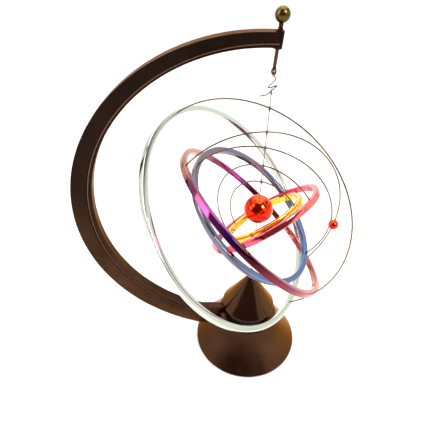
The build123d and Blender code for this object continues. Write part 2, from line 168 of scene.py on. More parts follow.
def soften(obj, width, segments=2, angle=35):
    """Round the sharp edges by a width in millimetres."""
    take(obj)
    bevel = obj.modifiers.new("soft_edges", "BEVEL")
    bevel.width = width * MM
    bevel.segments = segments
    bevel.limit_method = "ANGLE"
    bevel.angle_limit = math.radians(angle)
    bevel.use_clamp_overlap = True
    bpy.ops.object.modifier_apply(modifier=bevel.name)


def cut(obj, tool, operation="DIFFERENCE"):
    """Cut one object with another, or join them, and drop the tool."""
    take(obj)
    boolean = obj.modifiers.new("cut", "BOOLEAN")
    boolean.operation = operation
    boolean.object = tool
    boolean.solver = "EXACT"
    bpy.ops.object.modifier_apply(modifier=boolean.name)
    bpy.data.objects.remove(tool, do_unlink=True)


def turned(name, profile, steps=160, closed=False):
    """A body turned on the Z axis from (radius, height) points in millimetres."""
    clear_selection()
    start_r, start_z = profile[0]
    bpy.ops.mesh.primitive_circle_add(
        vertices=steps, radius=start_r * MM, location=(0, 0, start_z * MM)
    )
    obj = named(name)
    bpy.ops.object.transform_apply(location=True)
    bpy.ops.object.mode_set(mode="EDIT")
    bpy.ops.mesh.select_all(action="SELECT")
    if not closed:
        bpy.ops.mesh.edge_face_add()
        bpy.ops.mesh.select_all(action="SELECT")
        bpy.ops.mesh.select_mode(type="EDGE")
    last_r, last_z = start_r, start_z
    for r, z in profile[1:]:
        bpy.ops.mesh.extrude_edges_move(
            TRANSFORM_OT_translate={"value": (0, 0, (z - last_z) * MM)}
        )
        grow = r / last_r
        bpy.ops.transform.resize(value=(grow, grow, 1), center_override=(0, 0, z * MM))
        last_r, last_z = r, z
    if not closed:
        bpy.ops.mesh.edge_face_add()
    bpy.ops.object.mode_set(mode="OBJECT")
    outwards(obj)
    return obj


def box(name, low, high):
    """A block between two corners in millimetres, for cutting with."""
    clear_selection()
    low, high = Vector(low) * MM, Vector(high) * MM
    bpy.ops.mesh.primitive_cube_add(size=1, location=(low + high) / 2)
    obj = named(name)
    obj.scale = high - low
    bpy.ops.object.transform_apply(location=True, rotation=True, scale=True)
    return obj


def disc(name, radius, low_y, high_y, centre, steps=256):
    """A thick disc across Y, for the arm's circles."""
    clear_selection()
    bpy.ops.mesh.primitive_cylinder_add(
        vertices=steps,
        radius=radius * MM,
        depth=(high_y - low_y) * MM,
        location=(centre[0] * MM, (low_y + high_y) / 2 * MM, centre[1] * MM),
        rotation=(math.radians(90), 0, 0),
    )
    obj = named(name)
    bpy.ops.object.transform_apply(location=True, rotation=True, scale=True)
    return obj


def wire(name, points, radius, degree=3, resolution=14, sides=5, weights=None):
    """A round wire along a smooth spline through or near its points, as a mesh."""
    curve = bpy.data.curves.new(name, "CURVE")
    curve.dimensions = "3D"
    spline = curve.splines.new("NURBS")
    spline.points.add(len(points) - 1)
    for i, p in enumerate(points):
        w = 1.0 if weights is None else weights[i]
        spline.points[i].co = (*(Vector(p) * MM), w)
    spline.order_u = degree
    spline.use_endpoint_u = True
    spline.resolution_u = resolution
    curve.bevel_depth = radius * MM
    curve.bevel_resolution = sides
    curve.use_fill_caps = True
    obj = bpy.data.objects.new(name, curve)
    bpy.context.scene.collection.objects.link(obj)
    take(obj)
    bpy.ops.object.convert(target="MESH")
    obj = named(name)
    outwards(obj)
    smooth(obj, 50)
    return obj


def joined(name, *objs):
    """Join separate meshes into the first one."""
    take(objs[0])
    for obj in objs[1:]:
        obj.select_set(True)
    bpy.ops.object.join()
    obj = named(name)
    take(obj)
    return obj


def finish_piece(obj, body, slot, material, *replaced):
    """Give a piece its finish, its body and the node it stands for."""
    obj.data.materials.clear()
    obj.data.materials.append(material)
    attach(obj, body)
    if replaced:
        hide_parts(*replaced)


# ---------------------------------------------------------------- shared effects
def effect_group(name, inputs, outputs):
    """A new node group with its sockets; each is (name, kind, default)."""
    group = bpy.data.node_groups.new(name, "ShaderNodeTree")
    for label, kind, value in inputs:
        socket = group.interface.new_socket(label, in_out="INPUT", socket_type=kind)
        socket.default_value = value
    for label, kind in outputs:
        group.interface.new_socket(label, in_out="OUTPUT", socket_type=kind)
    entry = group.nodes.new("NodeGroupInput")
    leave = group.nodes.new("NodeGroupOutput")
    return group, entry, leave


def link(tree, a, b):
    """Link one socket to another."""
    tree.links.new(a, b)


def add_node(tree, kind, **settings):
    """Add a node and set its plain properties."""
    node = tree.nodes.new(kind)
    for key, value in settings.items():
        setattr(node, key, value)
    return node


def make_lacquer_group():
    """Brushed-out lacquer: cloudy colour, faint specks and a fine orange-peel height."""
    group, entry, leave = effect_group(
        "lacquer_coat",
        [
            ("Dark", "NodeSocketColor", (0.02, 0.01, 0.01, 1)),
            ("Light", "NodeSocketColor", (0.1, 0.05, 0.03, 1)),
            ("Cloud Scale", "NodeSocketFloat", 30.0),
            ("Base Roughness", "NodeSocketFloat", 0.35),
        ],
        [
            ("Color", "NodeSocketColor"),
            ("Roughness", "NodeSocketFloat"),
            ("Height", "NodeSocketFloat"),
        ],
    )
    place = add_node(group, "ShaderNodeTexCoord")
    cloud = add_node(group, "ShaderNodeTexNoise")
    cloud.inputs["Detail"].default_value = 4.0
    link(group, place.outputs["Object"], cloud.inputs["Vector"])
    link(group, entry.outputs["Cloud Scale"], cloud.inputs["Scale"])
    blend = add_node(group, "ShaderNodeMix", data_type="RGBA")
    soften_cloud = add_node(group, "ShaderNodeMapRange")
    soften_cloud.inputs["From Min"].default_value = 0.35
    soften_cloud.inputs["From Max"].default_value = 0.7
    link(group, cloud.outputs["Fac"], soften_cloud.inputs["Value"])
    link(group, soften_cloud.outputs["Result"], blend.inputs["Factor"])
    link(group, entry.outputs["Dark"], blend.inputs["A"])
    link(group, entry.outputs["Light"], blend.inputs["B"])
    link(group, blend.outputs["Result"], leave.inputs["Color"])
    peel = add_node(group, "ShaderNodeTexNoise")
    peel.inputs["Scale"].default_value = 1400.0
    peel.inputs["Detail"].default_value = 2.0
    link(group, place.outputs["Object"], peel.inputs["Vector"])
    link(group, peel.outputs["Fac"], leave.inputs["Height"])
    handled = add_node(group, "ShaderNodeTexNoise")
    handled.inputs["Scale"].default_value = 90.0
    handled.inputs["Detail"].default_value = 6.0
    link(group, place.outputs["Object"], handled.inputs["Vector"])
    spread = add_node(group, "ShaderNodeMapRange")
    spread.inputs["From Min"].default_value = 0.3
    spread.inputs["From Max"].default_value = 0.75
    spread.inputs["To Min"].default_value = -0.06
    spread.inputs["To Max"].default_value = 0.08
    link(group, handled.outputs["Fac"], spread.inputs["Value"])
    total = add_node(group, "ShaderNodeMath", operation="ADD")
    link(group, spread.outputs["Result"], total.inputs[0])
    link(group, entry.outputs["Base Roughness"], total.inputs[1])
    link(group, total.outputs["Value"], leave.inputs["Roughness"])
    return group


def make_polish_group():
    """Polished metal: fine rolling lines, small handling marks and a slight waviness."""
    group, entry, leave = effect_group(
        "polish_marks",
        [
            ("Stretch", "NodeSocketVector", (40.0, 40.0, 900.0)),
            ("Base Roughness", "NodeSocketFloat", 0.08),
            ("Mark Roughness", "NodeSocketFloat", 0.1),
            ("Turn", "NodeSocketVector", (0.0, 0.0, 0.0)),
        ],
        [
            ("Roughness", "NodeSocketFloat"),
            ("Height", "NodeSocketFloat"),
            ("Streak", "NodeSocketFloat"),
        ],
    )
    place = add_node(group, "ShaderNodeTexCoord")
    turned_place = add_node(group, "ShaderNodeVectorRotate", rotation_type="EULER_XYZ")
    link(group, place.outputs["Object"], turned_place.inputs["Vector"])
    link(group, entry.outputs["Turn"], turned_place.inputs["Rotation"])
    stretched = add_node(group, "ShaderNodeVectorMath", operation="MULTIPLY")
    link(group, turned_place.outputs["Vector"], stretched.inputs[0])
    link(group, entry.outputs["Stretch"], stretched.inputs[1])
    lines = add_node(group, "ShaderNodeTexNoise")
    lines.inputs["Scale"].default_value = 1.0
    lines.inputs["Detail"].default_value = 3.0
    link(group, stretched.outputs["Vector"], lines.inputs["Vector"])
    link(group, lines.outputs["Fac"], leave.inputs["Streak"])
    wave = add_node(group, "ShaderNodeTexNoise")
    wave.inputs["Scale"].default_value = 55.0
    wave.inputs["Detail"].default_value = 1.0
    link(group, place.outputs["Object"], wave.inputs["Vector"])
    both = add_node(group, "ShaderNodeMath", operation="MULTIPLY_ADD")
    link(group, lines.outputs["Fac"], both.inputs[0])
    both.inputs[1].default_value = 0.12
    link(group, wave.outputs["Fac"], both.inputs[2])
    link(group, both.outputs["Value"], leave.inputs["Height"])
    marks = add_node(group, "ShaderNodeMapRange")
    marks.inputs["From Min"].default_value = 0.55
    marks.inputs["From Max"].default_value = 0.8
    link(group, lines.outputs["Fac"], marks.inputs["Value"])
    rough = add_node(group, "ShaderNodeMath", operation="MULTIPLY_ADD")
    link(group, marks.outputs["Result"], rough.inputs[0])
    link(group, entry.outputs["Mark Roughness"], rough.inputs[1])
    link(group, entry.outputs["Base Roughness"], rough.inputs[2])
    link(group, rough.outputs["Value"], leave.inputs["Roughness"])
    return group


def make_grain_group():
    """Moulded or cast skin: a fine two-scale grain with a little colour drift."""
    group, entry, leave = effect_group(
        "moulded_grain",
        [
            ("Color", "NodeSocketColor", (0.02, 0.02, 0.02, 1)),
            ("Drift", "NodeSocketFloat", 0.3),
            ("Grain Scale", "NodeSocketFloat", 900.0),
            ("Base Roughness", "NodeSocketFloat", 0.5),
        ],
        [
            ("Color", "NodeSocketColor"),
            ("Roughness", "NodeSocketFloat"),
            ("Height", "NodeSocketFloat"),
        ],
    )
    place = add_node(group, "ShaderNodeTexCoord")
    grain = add_node(group, "ShaderNodeTexNoise")
    grain.inputs["Detail"].default_value = 5.0
    link(group, place.outputs["Object"], grain.inputs["Vector"])
    link(group, entry.outputs["Grain Scale"], grain.inputs["Scale"])
    link(group, grain.outputs["Fac"], leave.inputs["Height"])
    drift = add_node(group, "ShaderNodeTexNoise")
    drift.inputs["Scale"].default_value = 60.0
    link(group, place.outputs["Object"], drift.inputs["Vector"])
    centre = add_node(group, "ShaderNodeMath", operation="SUBTRACT")
    link(group, drift.outputs["Fac"], centre.inputs[0])
    centre.inputs[1].default_value = 0.5
    scaled = add_node(group, "ShaderNodeMath", operation="MULTIPLY_ADD")
    link(group, centre.outputs["Value"], scaled.inputs[0])
    link(group, entry.outputs["Drift"], scaled.inputs[1])
    scaled.inputs[2].default_value = 1.0
    shade = add_node(group, "ShaderNodeVectorMath", operation="SCALE")
    link(group, entry.outputs["Color"], shade.inputs[0])
    link(group, scaled.outputs["Value"], shade.inputs["Scale"])
    link(group, shade.outputs["Vector"], leave.inputs["Color"])
    rough = add_node(group, "ShaderNodeMath", operation="MULTIPLY_ADD")
    link(group, grain.outputs["Fac"], rough.inputs[0])
    rough.inputs[1].default_value = 0.15
    link(group, entry.outputs["Base Roughness"], rough.inputs[2])
    link(group, rough.outputs["Value"], leave.inputs["Roughness"])
    return group


lacquer_group = make_lacquer_group()
polish_group = make_polish_group()
grain_group = make_grain_group()


def new_material(name):
    """A material with its shader ready; returns the material, its tree and the shader."""
    material = bpy.data.materials.new(name)
    material.use_nodes = True
    tree = material.node_tree
    tree.nodes.clear()
    shader = add_node(tree, "ShaderNodeBsdfPrincipled")
    result = add_node(tree, "ShaderNodeOutputMaterial")
    link(tree, shader.outputs["BSDF"], result.inputs["Surface"])
    return material, tree, shader


def add_bump(tree, shader, height, strength, distance):
    """Feed a height to the shader's normal."""
    bump = add_node(tree, "ShaderNodeBump")
    bump.inputs["Strength"].default_value = strength
    bump.inputs["Distance"].default_value = distance * MM
    link(tree, height, bump.inputs["Height"])
    link(tree, bump.outputs["Normal"], shader.inputs["Normal"])


def place_group(tree, group, **values):
    """Put a shared effect in a material with its own values."""
    node = add_node(tree, "ShaderNodeGroup")
    node.node_tree = group
    for key, value in values.items():
        node.inputs[key.replace("_", " ")].default_value = value
    return node


def lacquer(name, dark, light, roughness, metal=0.55, cloud=30.0):
    """Satin lacquer over metal, clouded between a dark and a light colour."""
    material, tree, shader = new_material(name)
    coat_node = place_group(
        tree,
        lacquer_group,
        Dark=(*dark, 1),
        Light=(*light, 1),
        Cloud_Scale=cloud,
        Base_Roughness=roughness,
    )
    link(tree, coat_node.outputs["Color"], shader.inputs["Base Color"])
    link(tree, coat_node.outputs["Roughness"], shader.inputs["Roughness"])
    shader.inputs["Metallic"].default_value = metal
    shader.inputs["Specular IOR Level"].default_value = 0.2
    shader.inputs["Specular Tint"].default_value = (1.0, 0.62, 0.4, 1)
    add_bump(tree, shader, coat_node.outputs["Height"], 0.25, 0.02)
    return material


def shade_and_highlight_arm(material):
    """Paint shade into the arm's lacquer, darker and cooler towards its tip, and paint a lighter
    highlight line along the bead.
    """
    tree = material.node_tree
    shader = next(node for node in tree.nodes if node.type == "BSDF_PRINCIPLED")
    lacquered = shader.inputs["Base Color"].links[0].from_socket
    place = add_node(tree, "ShaderNodeTexCoord")
    split = add_node(tree, "ShaderNodeSeparateXYZ")
    link(tree, place.outputs["Object"], split.inputs["Vector"])
    # painted shade: multiply the lacquer darker and cooler towards the arm's tip
    height = add_node(tree, "ShaderNodeMapRange", interpolation_type="SMOOTHSTEP")
    height.inputs["From Min"].default_value = painted_shade_low_z * MM
    height.inputs["From Max"].default_value = painted_shade_high_z * MM
    link(tree, split.outputs["Z"], height.inputs["Value"])
    painted_shade_mix = add_node(tree, "ShaderNodeMix", data_type="RGBA", blend_type="MULTIPLY")
    link(tree, height.outputs["Result"], painted_shade_mix.inputs["Factor"])
    link(tree, lacquered, painted_shade_mix.inputs["A"])
    painted_shade_mix.inputs["B"].default_value = (0.3, 0.34, 0.42, 1)
    # painted highlight: a lighter band on the arm's faces along the bead
    moved = add_node(tree, "ShaderNodeVectorMath", operation="SUBTRACT")
    link(tree, place.outputs["Object"], moved.inputs[0])
    moved.inputs[1].default_value = Vector((rib_x, 0.0, rib_z)) * MM
    flat = add_node(tree, "ShaderNodeVectorMath", operation="MULTIPLY")
    link(tree, moved.outputs["Vector"], flat.inputs[0])
    flat.inputs[1].default_value = (1.0, 0.0, 1.0)
    reach = add_node(tree, "ShaderNodeVectorMath", operation="LENGTH")
    link(tree, flat.outputs["Vector"], reach.inputs[0])
    apart = add_node(tree, "ShaderNodeMath", operation="SUBTRACT")
    link(tree, reach.outputs["Value"], apart.inputs[0])
    apart.inputs[1].default_value = bead_highlight_track_r * MM
    either_way = add_node(tree, "ShaderNodeMath", operation="ABSOLUTE")
    link(tree, apart.outputs["Value"], either_way.inputs[0])
    bead_highlight_band = add_node(tree, "ShaderNodeMapRange")
    bead_highlight_band.inputs["From Min"].default_value = 0.55 * MM
    bead_highlight_band.inputs["From Max"].default_value = 0.1 * MM
    link(tree, either_way.outputs["Value"], bead_highlight_band.inputs["Value"])
    sideways = add_node(tree, "ShaderNodeMath", operation="ABSOLUTE")
    link(tree, split.outputs["Y"], sideways.inputs[0])
    on_face = add_node(tree, "ShaderNodeMath", operation="GREATER_THAN")
    link(tree, sideways.outputs["Value"], on_face.inputs[0])
    on_face.inputs[1].default_value = 2.9 * MM
    on_bead = add_node(tree, "ShaderNodeMath", operation="MULTIPLY")
    link(tree, bead_highlight_band.outputs["Result"], on_bead.inputs[0])
    link(tree, on_face.outputs["Value"], on_bead.inputs[1])
    # painted highlight colour laid over the lacquer along the bead
    painted_highlight_mix = add_node(tree, "ShaderNodeMix", data_type="RGBA")
    link(tree, on_bead.outputs["Value"], painted_highlight_mix.inputs["Factor"])
    link(tree, painted_shade_mix.outputs["Result"], painted_highlight_mix.inputs["A"])
    painted_highlight_mix.inputs["B"].default_value = (0.19, 0.1, 0.065, 1)
    link(tree, painted_highlight_mix.outputs["Result"], shader.inputs["Base Color"])


def moulded(name, color, roughness, grain=900.0, drift=0.3, metallic=0.0, bump=0.3):
    """A moulded, cast or plated skin with a fine grain."""
    material, tree, shader = new_material(name)
    skin = place_group(
        tree,
        grain_group,
        Color=(*color, 1),
        Drift=drift,
        Grain_Scale=grain,
        Base_Roughness=roughness,
    )
    link(tree, skin.outputs["Color"], shader.inputs["Base Color"])
    link(tree, skin.outputs["Roughness"], shader.inputs["Roughness"])
    shader.inputs["Metallic"].default_value = metallic
    add_bump(tree, shader, skin.outputs["Height"], bump, 0.05)
    return material


def graded_metal(
    name,
    stops,
    along=(0, 0, 1),
    span=(-1.0, 1.0),
    centre=(0, 0, 0),
    turn=(0, 0, 0),
    roughness=0.08,
    marks=0.1,
    bump=0.15,
    wobble=0.12,
    stretch=(40.0, 40.0, 900.0),
):
    """Polished metal whose colour drifts through the stops along one direction, in millimetres; on
    the balls that drift is painted light, on the rings it is dye with painted reflection.
    """
    material, tree, shader = new_material(name)
    polish = place_group(
        tree,
        polish_group,
        Stretch=stretch,
        Base_Roughness=roughness,
        Mark_Roughness=marks,
        Turn=turn,
    )
    place = add_node(tree, "ShaderNodeTexCoord")
    moved = add_node(tree, "ShaderNodeVectorMath", operation="SUBTRACT")
    link(tree, place.outputs["Object"], moved.inputs[0])
    moved.inputs[1].default_value = Vector(centre) * MM
    measured = add_node(tree, "ShaderNodeVectorMath", operation="DOT_PRODUCT")
    link(tree, moved.outputs["Vector"], measured.inputs[0])
    measured.inputs[1].default_value = Vector(along)
    fitted = add_node(tree, "ShaderNodeMapRange")
    fitted.inputs["From Min"].default_value = span[0] * MM
    fitted.inputs["From Max"].default_value = span[1] * MM
    link(tree, measured.outputs["Value"], fitted.inputs["Value"])
    cloudy = add_node(tree, "ShaderNodeTexNoise")
    cloudy.inputs["Scale"].default_value = 45.0
    cloudy.inputs["Detail"].default_value = 3.0
    link(tree, place.outputs["Object"], cloudy.inputs["Vector"])
    shifted = add_node(tree, "ShaderNodeMath", operation="MULTIPLY_ADD")
    link(tree, cloudy.outputs["Fac"], shifted.inputs[0])
    shifted.inputs[1].default_value = wobble
    link(tree, fitted.outputs["Result"], shifted.inputs[2])
    ramp = add_node(tree, "ShaderNodeValToRGB")
    elements = ramp.color_ramp.elements
    while len(elements) > 1:
        elements.remove(elements[-1])
    elements[0].position = stops[0][0]
    elements[0].color = (*stops[0][1], 1)
    for position, color in stops[1:]:
        element = elements.new(position)
        element.color = (*color, 1)
    link(tree, shifted.outputs["Value"], ramp.inputs["Fac"])
    link(tree, ramp.outputs["Color"], shader.inputs["Base Color"])
    link(tree, polish.outputs["Roughness"], shader.inputs["Roughness"])
    shader.inputs["Metallic"].default_value = 1.0
    add_bump(tree, shader, polish.outputs["Height"], bump, 0.05)
    return material


# ---------------------------------------------------------------- finishes
arm_finish = lacquer("arm_lacquer", (0.032, 0.0145, 0.0085), (0.062, 0.029, 0.0155), 0.3, 0.8)
# painted shade towards the arm's tip and a painted highlight along the bead
shade_and_highlight_arm(arm_finish)
base_finish = lacquer("bell_lacquer", (0.046, 0.02, 0.011), (0.078, 0.036, 0.016), 0.22, 0.9, 22.0)
cone_finish = lacquer("cone_lacquer", (0.06, 0.028, 0.015), (0.09, 0.043, 0.019), 0.14, 0.9, 26.0)
collar_finish = moulded("collar_black", (0.006, 0.006, 0.006), 0.55)
plastic_finish = moulded("black_moulding", (0.016, 0.016, 0.017), 0.48, grain=1500.0)
rubber_finish = moulded("foot_rubber", (0.012, 0.012, 0.012), 0.75, grain=2200.0)
zinc_finish = moulded("zinc_plate", (0.55, 0.54, 0.5), 0.28, grain=1800.0, metallic=1.0, bump=0.12)
iron_finish = moulded(
    "cast_iron_skin", (0.07, 0.068, 0.066), 0.6, grain=700.0, metallic=0.8, bump=0.6
)
battery_finish = moulded(
    "battery_sleeve", (0.03, 0.032, 0.04), 0.3, grain=500.0, metallic=0.4, bump=0.05
)
red_lead_finish = moulded("red_insulation", (0.42, 0.025, 0.02), 0.35, grain=1200.0)
black_lead_finish = moulded("black_insulation", (0.018, 0.018, 0.018), 0.35, grain=1200.0)
board_finish = moulded("solder_mask", (0.015, 0.14, 0.05), 0.35, grain=350.0, drift=0.8)
can_finish = moulded("capacitor_sleeve", (0.02, 0.04, 0.13), 0.3, grain=600.0)
nylon_finish = moulded("bobbin_nylon", (0.7, 0.68, 0.6), 0.45, grain=800.0)
steel_finish = moulded("turned_steel", (0.4, 0.4, 0.41), 0.3, grain=900.0, metallic=1.0)
thread_finish = moulded("twisted_thread", (0.22, 0.2, 0.18), 0.8, grain=6000.0, drift=0.6, bump=0.6)
winding_finish = graded_metal(
    "copper_winding",
    [(0.0, (0.5, 0.16, 0.06)), (1.0, (0.75, 0.28, 0.12))],
    span=(52, 64),
    roughness=0.25,
    stretch=(5.0, 5.0, 4000.0),
    bump=0.8,
)
rod_finish = graded_metal(
    "rod_lacquer",
    [(0.0, (0.12, 0.045, 0.028)), (0.5, (0.075, 0.03, 0.02)), (1.0, (0.045, 0.02, 0.014))],
    span=(262, 300),
    roughness=0.22,
    marks=0.15,
)
finial_finish = graded_metal(
    "finial_bronze",
    [(0.0, (0.06, 0.035, 0.014)), (0.6, (0.1, 0.065, 0.018)), (1.0, (0.15, 0.105, 0.025))],
    span=(297, 307),
    roughness=0.24,
)
wire_stops = [(0.0, (0.13, 0.07, 0.03)), (0.5, (0.2, 0.12, 0.045)), (1.0, (0.14, 0.08, 0.035))]
bail_finish = graded_metal(
    "bail_bronze", wire_stops, span=(90, 250), roughness=0.22, marks=0.2, wobble=0.3
)
hook_finish = graded_metal(
    "hook_bronze", wire_stops, span=(250, 275), roughness=0.25, marks=0.2, wobble=0.4
)
crimp_finish = graded_metal("crimp_bronze", wire_stops, span=(140, 250), roughness=0.3)
magnet_finish = graded_metal(
    "magnet_nickel",
    [(0.0, (0.3, 0.26, 0.2)), (1.0, (0.5, 0.46, 0.38))],
    span=(93, 97),
    roughness=0.2,
)
# The balls' red with painted light: darker red towards the lower left as painted shade, oranger
# towards the upper right as a painted highlight.
ball_red_and_painted_light_stops = [
    (0.0, (0.5, 0.01, 0.007)),
    (0.35, (0.68, 0.02, 0.008)),
    (0.75, (0.8, 0.04, 0.012)),
    (1.0, (0.85, 0.09, 0.016)),
]
sun_finish = graded_metal(
    "sun_mirror_red",
    ball_red_and_painted_light_stops,
    along=(0.35, 0.2, 0.9),
    span=(-11, 11),
    centre=(0, 0, sun_z),
    roughness=0.1,
    marks=0.08,
    bump=0.3,
)
ring_finish = {}
# The ring ramps hold dye and painted reflection: the purple ring's dark maroon middle stops and the
# pink ring's deeper red are a painted reflection of a dark surround.
dye_and_reflection_turn = {"purple": 155.0}
ring_dye_and_reflection_stops = {
    "silver": [(0.0, (0.58, 0.64, 0.55)), (0.5, (0.66, 0.7, 0.64)), (1.0, (0.6, 0.66, 0.57))],
    "purple": [
        (0.0, (0.5, 0.15, 0.1)),
        (0.12, (0.45, 0.12, 0.1)),
        (0.27, (0.26, 0.05, 0.1)),
        (0.38, (0.19, 0.03, 0.05)),
        (0.5, (0.07, 0.009, 0.016)),
        (0.59, (0.1, 0.02, 0.06)),
        (0.66, (0.14, 0.04, 0.36)),
        (0.72, (0.44, 0.08, 0.36)),
        (0.79, (0.36, 0.06, 0.24)),
        (0.86, (0.24, 0.045, 0.11)),
        (0.91, (0.18, 0.04, 0.1)),
        (0.96, (0.4, 0.15, 0.13)),
        (1.0, (0.48, 0.2, 0.12)),
    ],
    "blue": [
        (0.0, (0.13, 0.19, 0.36)),
        (0.35, (0.15, 0.21, 0.39)),
        (0.65, (0.19, 0.19, 0.28)),
        (1.0, (0.2, 0.17, 0.21)),
    ],
    "pink": [
        (0.0, (0.87, 0.14, 0.16)),
        (0.3, (0.8, 0.06, 0.1)),
        (0.6, (0.87, 0.09, 0.2)),
        (1.0, (0.9, 0.2, 0.18)),
    ],
    "gold": [(0.0, (0.92, 0.5, 0.03)), (0.5, (0.95, 0.6, 0.04)), (1.0, (0.93, 0.6, 0.1))],
}


def ring_axes(name):
    """Centre, low-end direction, side and normal of a ring."""
    radius, hang_z, hang_angle, tilt = RINGS[name]
    turn_x = Matrix.Rotation(math.radians(tilt[0]), 3, "X")
    turn_y = Matrix.Rotation(math.radians(tilt[1]), 3, "Y")
    turn_z = Matrix.Rotation(math.radians(tilt[2]), 3, "Z")
    axes = turn_x @ turn_y @ turn_z
    downhill, side, normal = axes.col[0].copy(), axes.col[1].copy(), axes.col[2].copy()
    angle = math.radians(hang_angle)
    hang_dir = downhill * math.cos(angle) + normal * math.sin(angle)
    centre = Vector((0, 0, hang_z)) - hang_dir * radius
    return centre, downhill, side, normal


for ring_name, stops in ring_dye_and_reflection_stops.items():
    centre, downhill, side, normal = ring_axes(ring_name)
    radius = RINGS[ring_name][0]
    dye_and_reflection_angle = math.radians(dye_and_reflection_turn.get(ring_name, 180.0))
    ring_finish[ring_name] = graded_metal(
        f"{ring_name}_mirror_band",
        stops,
        along=downhill * math.cos(dye_and_reflection_angle) + side * math.sin(dye_and_reflection_angle),
        span=(-radius, radius),
        centre=centre,
        roughness=0.09 if ring_name != "silver" else 0.14,
        marks=0.12,
        wobble=0.08,
        stretch=(30.0, 30.0, 30.0),
        bump=0.1,
    )

# ---------------------------------------------------------------- arm
arm_steps = 320
strip_half = arm_half - rib_sink
arm_shape = disc("arm_casting", arm_out_r, -arm_half, arm_half, (arm_x, arm_z), arm_steps)
cut(arm_shape, disc("inner_circle", arm_in_r, -20, 20, (-4.0, 162.1), arm_steps))
cut(arm_shape, disc("near_recess", rib_r, -20, -strip_half, (rib_x, rib_z), arm_steps))
cut(arm_shape, disc("far_recess", rib_r, strip_half, 20, (rib_x, rib_z), arm_steps))
for bead_y in (-bead_face_y, bead_face_y):
    clear_selection()
    bpy.ops.mesh.primitive_torus_add(
        major_segments=arm_steps,
        minor_segments=14,
        major_radius=bead_track_r * MM,
        minor_radius=bead_r * MM,
        rotation=(math.radians(90), 0, 0),
        location=Vector((rib_x, bead_y, rib_z)) * MM,
    )
    bead = named("edge_bead")
    bpy.ops.object.transform_apply(location=True, rotation=True, scale=True)
    cut(arm_shape, bead, "UNION")
arm_tip_x = (arm_centre + rod_dir * boss_high_r).x
cut(arm_shape, box("past_tip", (arm_tip_x, -20, -50), (200, 20, 400)))
cut(arm_shape, box("under_foot", (-200, -20, -60), (200, 20, foot_low_z)))
foot_start_x = arm_x - math.sqrt(arm_out_r**2 - (arm_z - foot_low_z) ** 2)
foot_low = (foot_start_x, -foot_half, foot_low_z)
foot_high = (foot_end_x, foot_half, foot_high_z)
cut(arm_shape, box("foot_bar", foot_low, foot_high), "UNION")
soften(arm_shape, 0.55, 3)
smooth(arm_shape, 30)
rod_turn = Vector((0, 0, 1)).rotation_difference(rod_dir).to_matrix().to_4x4()


def along_rod(reach):
    """Matrix that puts a body turned on Z on the hanger's line, reach mm from the arm's centre."""
    return Matrix.Translation((arm_centre + rod_dir * reach) * MM) @ rod_turn


boss = turned(
    "arm_boss",
    [(1.15, 0.0), (2.45, 0.0), (2.75, 0.35), (2.75, 9.55), (2.45, 10.0)]
    + [(1.75, 10.0), (1.5, 9.8), (1.15, 9.8), (1.15, 0.0)],
    64,
    closed=True,
)
smooth(boss, 40)
settle(boss, along_rod(boss_low_r))
arm_piece = joined("arm_casting", arm_shape, boss)
finish_piece(arm_piece, "stand", "arm_lacquer", arm_finish, "arm")

# ---------------------------------------------------------------- base
flank = []
for i in range(13):
    t = i / 12
    r = base_r + (bell_top_r - base_r) * t
    z = lip_z + (bell_top_z - lip_z) * t
    hollow = 1.1 * 4 * t * (1 - t)
    flank.append((r - hollow * 0.86, z - hollow * 0.5))
bell = turned(
    "bell_shell",
    [(47.6, 0.0), (49.7, 0.0), (base_r, 0.3), (base_r, 1.5), (49.8, lip_z)]
    + flank[1:-1]
    + [(27.6, 40.1), (bell_top_r, 40.8), (26.3, bell_top_z), (8.0, bell_top_z), (8.0, 38.0)]
    + [(24.2, 38.0), (25.3, 36.6), (35.2, 19.6), (47.6, 1.9), (47.6, 0.0)],
    200,
    closed=True,
)
plug = turned("roof_middle", [(8.2, 38.0), (8.2, bell_top_z)], 48)
cut(bell, plug, "UNION")
cut(bell, box("foot_slot", (-60, -4.0, 22.85), (20.15, 4.0, 60)))
for i in range(4):
    angle = math.radians(45 + 90 * i)
    post = turned("screw_post", [(3.0, 2.0), (3.0, 14.6), (2.6, 15.0)], 32)
    settle(post, Matrix.Translation(Vector((38 * math.cos(angle), 38 * math.sin(angle), 0)) * MM))
    bell = joined("bell_shell", bell, post)
smooth(bell, 33)
finish_piece(bell, "stand", "base_lacquer", base_finish, "bell_base")

cone = turned(
    "cone_cap",
    [(14.0, cone_z), (24.1, cone_z), (cone_r, 52.25), (24.45, 52.75), (24.1, 53.3)]
    + [
        (cone_r - (cone_r - cone_tip_r) * (z - cone_z) / (cone_top_z - cone_z), z)
        for z in (56, 62, 68, 74, 80, 85, 89)
    ]
    + [(1.65, 90.9), (1.35, 91.5), (0.95, 91.85), (0.45, 91.98), (0.1, cone_top_z)]
    + [(0.1, 83.0), (3.6, 82.5), (20.8, 54.0), (14.0, 54.0), (14.0, cone_z)],
    160,
    closed=True,
)
smooth(cone, 33)
finish_piece(cone, "stand", "base_lacquer", cone_finish, "upper_cone")

# ---------------------------------------------------------------- hanger
finial = turned(
    "finial_knob",
    [(rod_r, -4.28), (1.55, -4.12)]
    + [
        (finial_r * math.cos(math.radians(a)), finial_r * math.sin(math.radians(a)))
        for a in range(-66, 90, 6)
    ]
    + [(0.12, finial_r)],
    64,
)
smooth(finial, 40)
settle(finial, along_rod(finial_reach_r))
finish_piece(finial, "hanger", "finial_bronze", finial_finish, "finial_ball")
skirt = turned(
    "rod_skirt",
    [(1.6, 0.05), (1.72, 0.2), (1.6, 0.5), (1.35, 1.4), (1.3, 2.6), (1.45, 3.2), (1.3, 3.75)],
    48,
)
smooth(skirt, 40)
settle(skirt, along_rod(boss_high_r))
finish_piece(skirt, "hanger", "rod_brown", rod_finish, "rod_collar")

